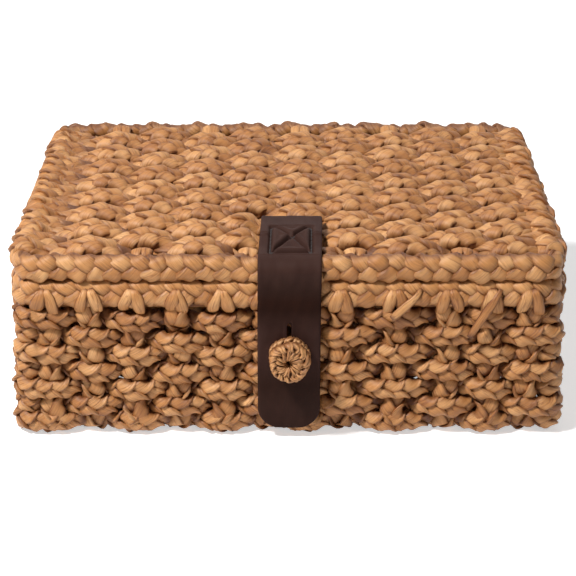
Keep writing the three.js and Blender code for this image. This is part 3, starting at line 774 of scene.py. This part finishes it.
STITCH_FRONT = -HALF_Y + 2.8
STITCH_REAR = STITCH_FRONT + 31.0
STITCH_HALF = 11.0
STITCH_CORNERS = [(-STITCH_HALF + 0.3, STITCH_FRONT - 0.8), (STITCH_HALF + 0.4, STITCH_FRONT - 0.2),
                  (STITCH_HALF, STITCH_REAR), (-STITCH_HALF, STITCH_REAR)]
STITCH_CROSSING = (0.8, 0.42 * STITCH_FRONT + 0.58 * STITCH_REAR)
STITCH_LINES = list(zip(STITCH_CORNERS, STITCH_CORNERS[1:] + STITCH_CORNERS[:1]))
STITCH_LINES += [(corner, STITCH_CROSSING) for corner in STITCH_CORNERS]
STRAP_REAR = -57.0
STRAP_DROP = 2.0
STRAP_END = 6.5
STRAP_END_RADIUS = 12.5
STRAP_UNDER = LID_TOP + 0.3
SLIT_LOW = KNOT_Z - 2.0
SLIT_HIGH = 70.6
FAR = 99.0


def line_distance(x, y, ends):
    (x1, y1), (x2, y2) = ends
    dx, dy = x2 - x1, y2 - y1
    t = np.clip(((x - x1) * dx + (y - y1) * dy) / (dx * dx + dy * dy), 0, 1)
    return np.hypot(x - x1 - t * dx, y - y1 - t * dy)


def strap_fall(y):
    """Share of the strap's drop from the lid rows to the lower border."""
    share = min(max((-82 - y) / 20, 0), 1)
    return share ** 2 * (3 - 2 * share)


def strap_course():
    """Middle line of the strap as distance forward and height, with its outward direction."""
    inner = ROLL_RADIUS + 0.3 + STRAP_THICKNESS / 2
    mid = STRAP_UNDER + STRAP_THICKNESS / 2
    rows = []
    for y in np.arange(STRAP_REAR, -HALF_Y, -0.55):
        rows.append((y, mid - STRAP_DROP * strap_fall(y), 0.0, 1.0))
    for angle in np.linspace(pi / 2, pi, 22):
        out, up = cos(angle), sin(angle)
        rows.append((-HALF_Y + inner * out, LID_Z + (inner - STRAP_DROP) * up, out, up))
    bottom = STRAP_END + STRAP_END_RADIUS
    rows += [(-HALF_Y - inner, z, -1.0, 0.0) for z in np.arange(LID_Z - 0.6, bottom, -0.6)]
    for angle in np.linspace(0, pi / 2, 26):
        rows.append((-HALF_Y - inner, bottom - STRAP_END_RADIUS * sin(angle), -1.0, 0.0))
    return np.array(rows)


def strap_half_width(z, hanging):
    """Half width of the strap, with rounded corners at its end."""
    rise = np.clip((STRAP_END + STRAP_END_RADIUS - z) / STRAP_END_RADIUS, 0, 1)
    narrow = STRAP_END_RADIUS * (1 - np.sqrt(1 - rise ** 2))
    return STRAP_HALF - np.where(hanging, narrow, 0.0)


def strap_relief(x, y, z, on_top):
    """Height of the outer face: stitched grooves with puffed leather between, a crease and soft waves."""
    nearest = np.min([line_distance(x, y, ends) for ends in STITCH_LINES], axis=0)
    inside = (np.abs(x) < STITCH_HALF) & (y > STITCH_FRONT) & (y < STITCH_REAR)
    puff = np.where(inside, 2.1, 0.45) * (1 - np.exp(-(nearest / 1.5) ** 2)) * np.exp(-(nearest / 6.5) ** 2)
    groove = -1.7 * np.exp(-(nearest / 0.95) ** 2)
    crease = 0.8 * np.exp(-((y + 85.2) / 1.0) ** 2) - 0.6 * np.exp(-((y + 83.2) / 1.2) ** 2)
    relief = np.where(on_top, puff + groove + crease * (np.abs(x) > STITCH_HALF), 0.0)
    slit = np.where(on_top, FAR, np.abs(np.abs(x) - 1.9))
    slit = slit + np.clip(SLIT_LOW - z, 0, FAR) + np.clip(z - SLIT_HIGH, 0, FAR)
    relief = relief + 0.28 * np.exp(-(slit / 0.8) ** 2)
    waves = 0.10 * np.sin(x * 0.31 + y * 0.11 + z * 0.07) + 0.06 * np.sin(x * 0.9 - z * 0.23 + y * 0.3)
    return relief + waves


def strap_skew(y, z):
    """Sideways offset of the strap, which is sewn on a little askew."""
    return 0.35 + 0.4 * np.clip((z - 60) / 40, 0, 1) + 1.1 * np.clip((y + 112) / 45, 0, 1)


def strap_columns():
    """Share of the half width for each column, with two columns at the edges of the slit."""
    side = np.linspace(1.0 / STRAP_HALF, 1, 30)
    return np.concatenate([-side[::-1], side])


def strap(material):
    name = "strap"
    course = strap_course()
    n = len(course)
    hanging = course[:, 2] < -0.99
    half = strap_half_width(course[:, 1], hanging)
    share = strap_columns()
    m = len(share)
    x = half[:, None] * share[None, :]
    taper = np.clip(np.minimum(course[:, 1] - SLIT_LOW, SLIT_HIGH - course[:, 1]) / 2.2, 0, 1)
    slit = np.where(hanging & (taper > 0), 0.25 + 1.0 * np.sqrt(taper), 1.0)
    x[:, m // 2] = slit
    x[:, m // 2 - 1] = -slit
    x, y, z, on_top = np.broadcast_arrays(x, course[:, :1], course[:, 1:2], course[:, 2:3] > -0.05)
    relief = strap_relief(x, y, z, on_top)
    edge = half[:, None] - np.abs(x)
    round_off = 0.8 * np.exp(-edge / 0.35)
    end = np.abs(course[:, 1] - STRAP_END) * hanging + FAR * ~hanging
    rear = np.where(course[:, 3] > 0.99, course[:, 0] - STRAP_REAR, FAR)
    ends = 0.8 * np.exp(-np.minimum(end, np.abs(rear)) / 0.35)[:, None]
    normal = np.stack([np.zeros(n), course[:, 2], course[:, 3]], axis=1)
    middle = np.stack([x + strap_skew(y, z), y, z], axis=-1)
    thick = STRAP_THICKNESS / 2
    outer = middle + normal[:, None, :] * (thick + relief - round_off - ends)[:, :, None]
    inner = middle - normal[:, None, :] * (thick - 0.5 * round_off - 0.5 * ends)[:, :, None]
    points = np.concatenate([outer.reshape(-1, 3), inner.reshape(-1, 3)])
    faces = strap_faces(n, m, hanging & (course[:, 1] > SLIT_LOW) & (course[:, 1] < SLIT_HIGH))
    mesh = bpy.data.meshes.new(name)
    mesh.from_pydata((points * MM).tolist(), [], faces)
    mesh.polygons.foreach_set("use_smooth", np.ones(len(mesh.polygons), bool))
    run = np.concatenate([[0], np.cumsum(np.hypot(np.diff(course[:, 0]), np.diff(course[:, 1])))])
    flat = np.stack(np.broadcast_arrays(x, run[:, None], 1.0), axis=-1).reshape(-1, 3)
    set_strand(mesh, np.concatenate([flat, flat * np.array([1, 1, -1.0])]))
    mesh.materials.append(material)
    mesh.validate()
    piece = placed(name, mesh)
    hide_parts("strap_anchor", "strap_flap")
    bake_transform(piece)


def strap_faces(n, m, open_rows):
    """Outer and inner faces, edges, and the walls of the slit."""
    back = n * m
    middle = m // 2 - 1
    faces = []
    for i in range(n - 1):
        gap = open_rows[i] and open_rows[i + 1]
        for j in range(m - 1):
            a, b, c, d = i * m + j, i * m + j + 1, (i + 1) * m + j + 1, (i + 1) * m + j
            if gap and j == middle:
                faces.append((a, d, d + back, a + back))
                faces.append((b, b + back, c + back, c))
                continue
            faces.append((a, b, c, d))
            faces.append((a + back, d + back, c + back, b + back))
        for j, order in ((0, 1), (m - 1, -1)):
            a, d = i * m + j, (i + 1) * m + j
            faces.append((a, d, d + back, a + back)[::order])
    for i, order in ((0, -1), (n - 1, 1)):
        for j in range(m - 1):
            a, b = i * m + j, i * m + j + 1
            faces.append((a, b, b + back, a + back)[::order])
    rows = np.flatnonzero(open_rows)
    for i, order in ((rows[0], 1), (rows[-1], -1)):
        a, b = i * m + middle, i * m + middle + 1
        faces.append((a, b, b + back, a + back)[::order])
    return faces


def strap_top(y):
    return STRAP_UNDER + STRAP_THICKNESS - STRAP_DROP * strap_fall(y)


def stitches(material):
    """Thread stitches sunk in the grooves of the strap."""
    name = "strap_stitches"
    rng = rng_for(name)
    skin = Skin()
    for (x1, y1), (x2, y2) in STITCH_LINES:
        length = hypot(x2 - x1, y2 - y1)
        count = round(length / 3.9)
        for k in range(count):
            a = (k + 0.10) / count
            b = (k + 0.90) / count
            turn = 0.06 / count
            spots = [(a, -2.0), (a + turn, -1.35), ((a + b) / 2, -1.1), (b - turn, -1.35), (b, -2.0)]
            places = [(x1 + (x2 - x1) * t, y1 + (y2 - y1) * t, dz) for t, dz in spots]
            controls = [(x + strap_skew(y, LID_TOP), y, strap_top(y) + dz) for x, y, dz in places]
            path = smooth_curve(controls, 0.35)
            sweep_strand(skin, path, UP, 0.5, 0.42, 8, rng, False)
    dress(skin.piece(name, material), "lid", "strap_stitching")


# Materials

def srgb(r, g, b):
    """Linear colour of an 8-bit screen colour."""
    def line(c):
        c = c / 255
        return c / 12.92 if c <= 0.04045 else ((c + 0.055) / 1.055) ** 2.4
    return (line(r), line(g), line(b), 1.0)


WHITE = (1, 1, 1, 1)
BLACK = (0, 0, 0, 1)

# Painted shade along the strap: a dark band below the lid and another below the knot
STRAP_PAINTED_SHADE = [
    (0.32, WHITE), (0.365, (0.62, 0.54, 0.48, 1)), (0.395, (0.45, 0.27, 0.16, 1)),
    (0.42, (0.4, 0.24, 0.14, 1)), (0.445, (0.68, 0.58, 0.52, 1)), (0.48, (1, 0.98, 1, 1)),
    (0.56, (1, 0.98, 1, 1)), (0.64, (0.58, 0.47, 0.38, 1)), (0.71, (0.74, 0.7, 0.67, 1)),
    (0.8, (0.7, 0.66, 0.62, 1)),
]


class Nodes:
    """Short way to write a node tree."""

    def __init__(self, owner):
        owner.use_nodes = True
        self.tree = owner.node_tree
        self.tree.nodes.clear()

    def add(self, kind, **values):
        node = self.tree.nodes.new(kind)
        for key, value in values.items():
            setattr(node, key, value)
        return node

    def link(self, a, b):
        self.tree.links.new(a, b)

    def feed(self, value, socket):
        """Links a value to a socket, or sets it there where it is a constant."""
        if isinstance(value, bpy.types.NodeSocket):
            self.link(value, socket)
        else:
            socket.default_value = value

    def attribute(self, name, output="Vector"):
        return self.add("ShaderNodeAttribute", attribute_name=name).outputs[output]

    def stretched(self, vector, scale):
        mapping = self.add("ShaderNodeMapping")
        mapping.inputs["Scale"].default_value = scale
        self.link(vector, mapping.inputs["Vector"])
        return mapping.outputs[0]

    def noise(self, vector, scale, detail, roughness):
        noise = self.add("ShaderNodeTexNoise")
        noise.inputs["Scale"].default_value = scale
        noise.inputs["Detail"].default_value = detail
        noise.inputs["Roughness"].default_value = roughness
        self.link(vector, noise.inputs["Vector"])
        return noise.outputs["Fac"]

    def ramp(self, value, stops):
        ramp = self.add("ShaderNodeValToRGB")
        while len(ramp.color_ramp.elements) < len(stops):
            ramp.color_ramp.elements.new(0.5)
        for element, (position, colour) in zip(ramp.color_ramp.elements, stops):
            element.position = position
            element.color = colour
        self.link(value, ramp.inputs[0])
        return ramp.outputs[0]

    def mix(self, factor, a, b, blend="MIX"):
        mix = self.add("ShaderNodeMix", data_type="RGBA", blend_type=blend)
        for value, socket in ((factor, mix.inputs[0]), (a, mix.inputs[6]), (b, mix.inputs[7])):
            self.feed(value, socket)
        return mix.outputs[2]

    def maths(self, operation, a, b):
        node = self.add("ShaderNodeMath", operation=operation)
        self.feed(a, node.inputs[0])
        self.feed(b, node.inputs[1])
        return node.outputs[0]

    def span(self, value, low, high):
        node = self.add("ShaderNodeMapRange")
        node.inputs["To Min"].default_value = low
        node.inputs["To Max"].default_value = high
        self.link(value, node.inputs[0])
        return node.outputs[0]


class Surface(Nodes):
    """Node tree of a material with one shader."""

    def __init__(self, name):
        self.material = bpy.data.materials.new(name)
        super().__init__(self.material)
        self.shader = self.add("ShaderNodeBsdfPrincipled")
        output = self.add("ShaderNodeOutputMaterial")
        self.link(self.shader.outputs[0], output.inputs[0])

    def put(self, label, value):
        self.feed(value, self.shader.inputs[label])

    def bump(self, heights):
        """Chains bumps, each a height, its strength and its distance in metres."""
        last = None
        for height, strength, distance in heights:
            bump = self.add("ShaderNodeBump")
            bump.inputs["Strength"].default_value = strength
            bump.inputs["Distance"].default_value = distance
            self.link(height, bump.inputs["Height"])
            if last is not None:
                self.link(last, bump.inputs["Normal"])
            last = bump.outputs[0]
        self.link(last, self.shader.inputs["Normal"])


def braid_material(name, light, middle, dark):
    """Dried plant fibre: satin leaf strands with fine lengthwise fibres and uneven tan, and painted shade at
    strand edges, crossings and hollows.
    """
    nodes = Surface(name)
    strand = nodes.attribute("strand")
    tone = nodes.attribute("tone", "Fac")
    fibre = nodes.noise(nodes.stretched(strand, (2.6, 1.4, 0.10)), 1.0, 4.0, 0.6)
    fine = nodes.noise(nodes.stretched(strand, (7.5, 4.0, 0.22)), 1.0, 2.0, 0.5)
    patch = nodes.noise(nodes.stretched(strand, (0.16, 0.16, 0.055)), 1.0, 2.0, 0.5)
    shift = nodes.maths("ADD", nodes.maths("MULTIPLY", tone, 0.22), nodes.maths("MULTIPLY", patch, 0.5))
    shift = nodes.maths("ADD", shift, nodes.maths("MULTIPLY", fibre, 0.42))
    colour = nodes.ramp(shift, [(0.28, dark), (0.55, middle), (0.86, light)])
    streak = nodes.ramp(fine, [(0.30, (0.66, 0.58, 0.50, 1)), (0.46, WHITE)])
    colour = nodes.mix(0.55, colour, nodes.mix(1.0, colour, streak, "MULTIPLY"))
    fold = nodes.noise(nodes.stretched(strand, (0.55, 0.5, 0.035)), 1.0, 1.0, 0.5)
    line = nodes.ramp(fold, [(0.465, WHITE), (0.49, BLACK), (0.50, BLACK), (0.525, WHITE)])
    lined = nodes.mix(1.0, colour, (0.42, 0.28, 0.17, 1), "MULTIPLY")
    colour = nodes.mix(nodes.span(line, 0.55, 0.0), colour, lined)
    # Painted shade: the colour is darkened towards deep brown as far as the edge attribute says, at strand
    # edges, where strands tuck under and in hollows
    painted_shade = nodes.mix(1.0, colour, (0.16, 0.07, 0.025, 1), "MULTIPLY")
    colour = nodes.mix(nodes.maths("MULTIPLY", nodes.attribute("edge", "Fac"), 0.95), colour, painted_shade)
    nodes.put("Base Color", colour)
    nodes.put("Roughness", nodes.span(fibre, 0.40, 0.62))
    nodes.put("Specular IOR Level", 0.45)
    nodes.bump([(line, 0.5, 0.0003), (fibre, 0.55, 0.00035), (fine, 0.35, 0.00014)])
    return nodes.material


def leather_material(name):
    nodes = Surface(name)
    flat = nodes.attribute("strand")
    wide = nodes.noise(nodes.stretched(flat, (0.09, 0.06, 1.0)), 1.0, 3.0, 0.55)
    grain = nodes.add("ShaderNodeTexVoronoi", feature="DISTANCE_TO_EDGE")
    grain.inputs["Scale"].default_value = 1.7
    nodes.link(flat, grain.inputs["Vector"])
    pores = nodes.noise(flat, 3.4, 3.0, 0.6)
    colour = nodes.ramp(wide, [(0.3, srgb(52, 32, 27)), (0.7, srgb(62, 41, 35))])
    run = nodes.add("ShaderNodeSeparateXYZ")
    nodes.link(flat, run.inputs[0])
    place = nodes.maths("MULTIPLY", run.outputs[1], 0.005)
    # Painted shade along the strap's length
    colour = nodes.mix(1.0, colour, nodes.ramp(place, STRAP_PAINTED_SHADE), "MULTIPLY")
    nodes.put("Base Color", colour)
    nodes.put("Roughness", nodes.span(pores, 0.5, 0.68))
    nodes.put("Specular IOR Level", 0.07)
    nodes.bump([(grain.outputs["Distance"], 0.35, 0.00018), (pores, 0.3, 0.00015)])
    return nodes.material


def cord_material(name, light, dark, roughness):
    nodes = Surface(name)
    strand = nodes.attribute("strand")
    fibre = nodes.noise(nodes.stretched(strand, (5.0, 5.0, 0.5)), 1.0, 4.0, 0.6)
    nodes.put("Base Color", nodes.ramp(fibre, [(0.35, dark), (0.65, light)]))
    nodes.put("Roughness", roughness)
    nodes.bump([(fibre, 0.6, 0.0003)])
    return nodes.material


def wire_material(name):
    nodes = Surface(name)
    place = nodes.add("ShaderNodeTexCoord").outputs["Object"]
    speck = nodes.noise(place, 420.0, 4.0, 0.6)
    colour = nodes.ramp(speck, [(0.35, srgb(52, 38, 26)), (0.7, srgb(84, 64, 46))])
    nodes.put("Base Color", colour)
    nodes.put("Metallic", 0.7)
    nodes.put("Roughness", nodes.span(speck, 0.4, 0.62))
    nodes.bump([(speck, 0.3, 0.0002)])
    return nodes.material


# Room

def floor():
    """Wide white floor that still shows the shadow of the box."""
    mesh = bpy.data.meshes.new("floor")
    reach = 6.0
    corners = [(-reach, -reach, 0), (reach, -reach, 0), (reach, reach, 0), (-reach, reach, 0)]
    mesh.from_pydata(corners, [], [(0, 1, 2, 3)])
    piece = placed("floor", mesh)
    nodes = Surface("floor")
    nodes.put("Base Color", (0.93, 0.93, 0.93, 1))
    nodes.put("Roughness", 0.9)
    nodes.put("Specular IOR Level", 0.0)
    path = nodes.add("ShaderNodeLightPath")
    seen = nodes.maths("MAXIMUM", path.outputs["Is Camera Ray"], path.outputs["Is Glossy Ray"])
    nodes.put("Emission Color", WHITE)
    nodes.put("Emission Strength", nodes.maths("MULTIPLY", seen, 0.55))
    mesh.materials.append(nodes.material)


def world():
    """White room, bright where it is seen and dim where it lights the box."""
    room = bpy.data.worlds.new("room")
    nodes = Nodes(room)
    output = nodes.add("ShaderNodeOutputWorld")
    background = nodes.add("ShaderNodeBackground")
    path = nodes.add("ShaderNodeLightPath")
    seen = nodes.maths("MAXIMUM", path.outputs["Is Camera Ray"], path.outputs["Is Glossy Ray"])
    any_seen = nodes.maths("MAXIMUM", seen, path.outputs["Is Transmission Ray"])
    nodes.link(nodes.span(any_seen, 0.05, 1.0), background.inputs["Strength"])
    background.inputs["Color"].default_value = WHITE
    nodes.link(background.outputs[0], output.inputs[0])
    bpy.context.scene.world = room


LAMP_TARGET = (0, 0, 0.05)


def lamp(name, place, size, watts):
    data = bpy.data.lights.new(name, "AREA")
    data.shape = "RECTANGLE"
    data.size, data.size_y = size
    data.energy = watts
    piece = placed(name, data)
    piece.location = place
    direction = piece.location.copy()
    direction[:] = [aim - start for aim, start in zip(LAMP_TARGET, place)]
    piece.rotation_euler = direction.to_track_quat("-Z", "Y").to_euler()


def camera():
    data = bpy.data.cameras.new("camera")
    data.sensor_width = 36
    data.lens = 108.0
    data.shift_x = -0.0005
    data.clip_start = 0.05
    data.clip_end = 30
    piece = placed("camera", data)
    piece.location = (0, -0.9538, 0.4629)
    piece.rotation_euler = (radians(90 - 24), 0, 0)
    bpy.context.scene.camera = piece


def main():
    camera()
    world()
    floor()
    lamp("key", (-0.78, -0.6, 1.42), (0.22, 0.22), 34)
    lamp("top", (0.35, 0.75, 1.35), (0.9, 0.7), 3.5)
    bpy.context.scene.view_settings.view_transform = "Standard"

    tans = (srgb(240, 185, 126), srgb(194, 133, 76), srgb(132, 75, 34))
    places = ("wall", "stake", "base", "lid", "rim", "border")
    wall, stakes, base, lid, rim, border = [braid_material(f"{place}_braid", *tans) for place in places]
    button = braid_material("knot_braid", srgb(250, 200, 144), srgb(224, 166, 108), srgb(164, 104, 56))
    raffia = cord_material("raffia_cord", srgb(214, 170, 116), srgb(160, 110, 64), 0.7)
    thread = cord_material("strap_thread", srgb(44, 32, 30), srgb(26, 18, 17), 0.75)
    leather = leather_material("strap_leather")
    wire = wire_material("frame_wire")

    for row in range(ROW_COUNT):
        wall_row(row, wall)
    for index in range(len(STAKE_XS)):
        stake(index, True, stakes)
    for index in range(len(STAKE_YS)):
        stake(index, False, stakes)
    for index in range(len(STAKE_YS) - 1):
        base_row(index, base)
    box_rim(rim)
    lid_border(border)
    for row in range(LID_ROWS):
        lid_row(row, lid)
    knot(button)
    knot_cord(raffia)
    hinge_loop("left", (STAKE_XS[2] + STAKE_XS[3]) / 2, raffia)
    hinge_loop("right", (STAKE_XS[8] + STAKE_XS[9]) / 2, raffia)
    strap(leather)
    stitches(thread)
    wires = frame["nodes"]["lid_frame"].data.materials
    wires.clear()
    wires.append(wire)


main()
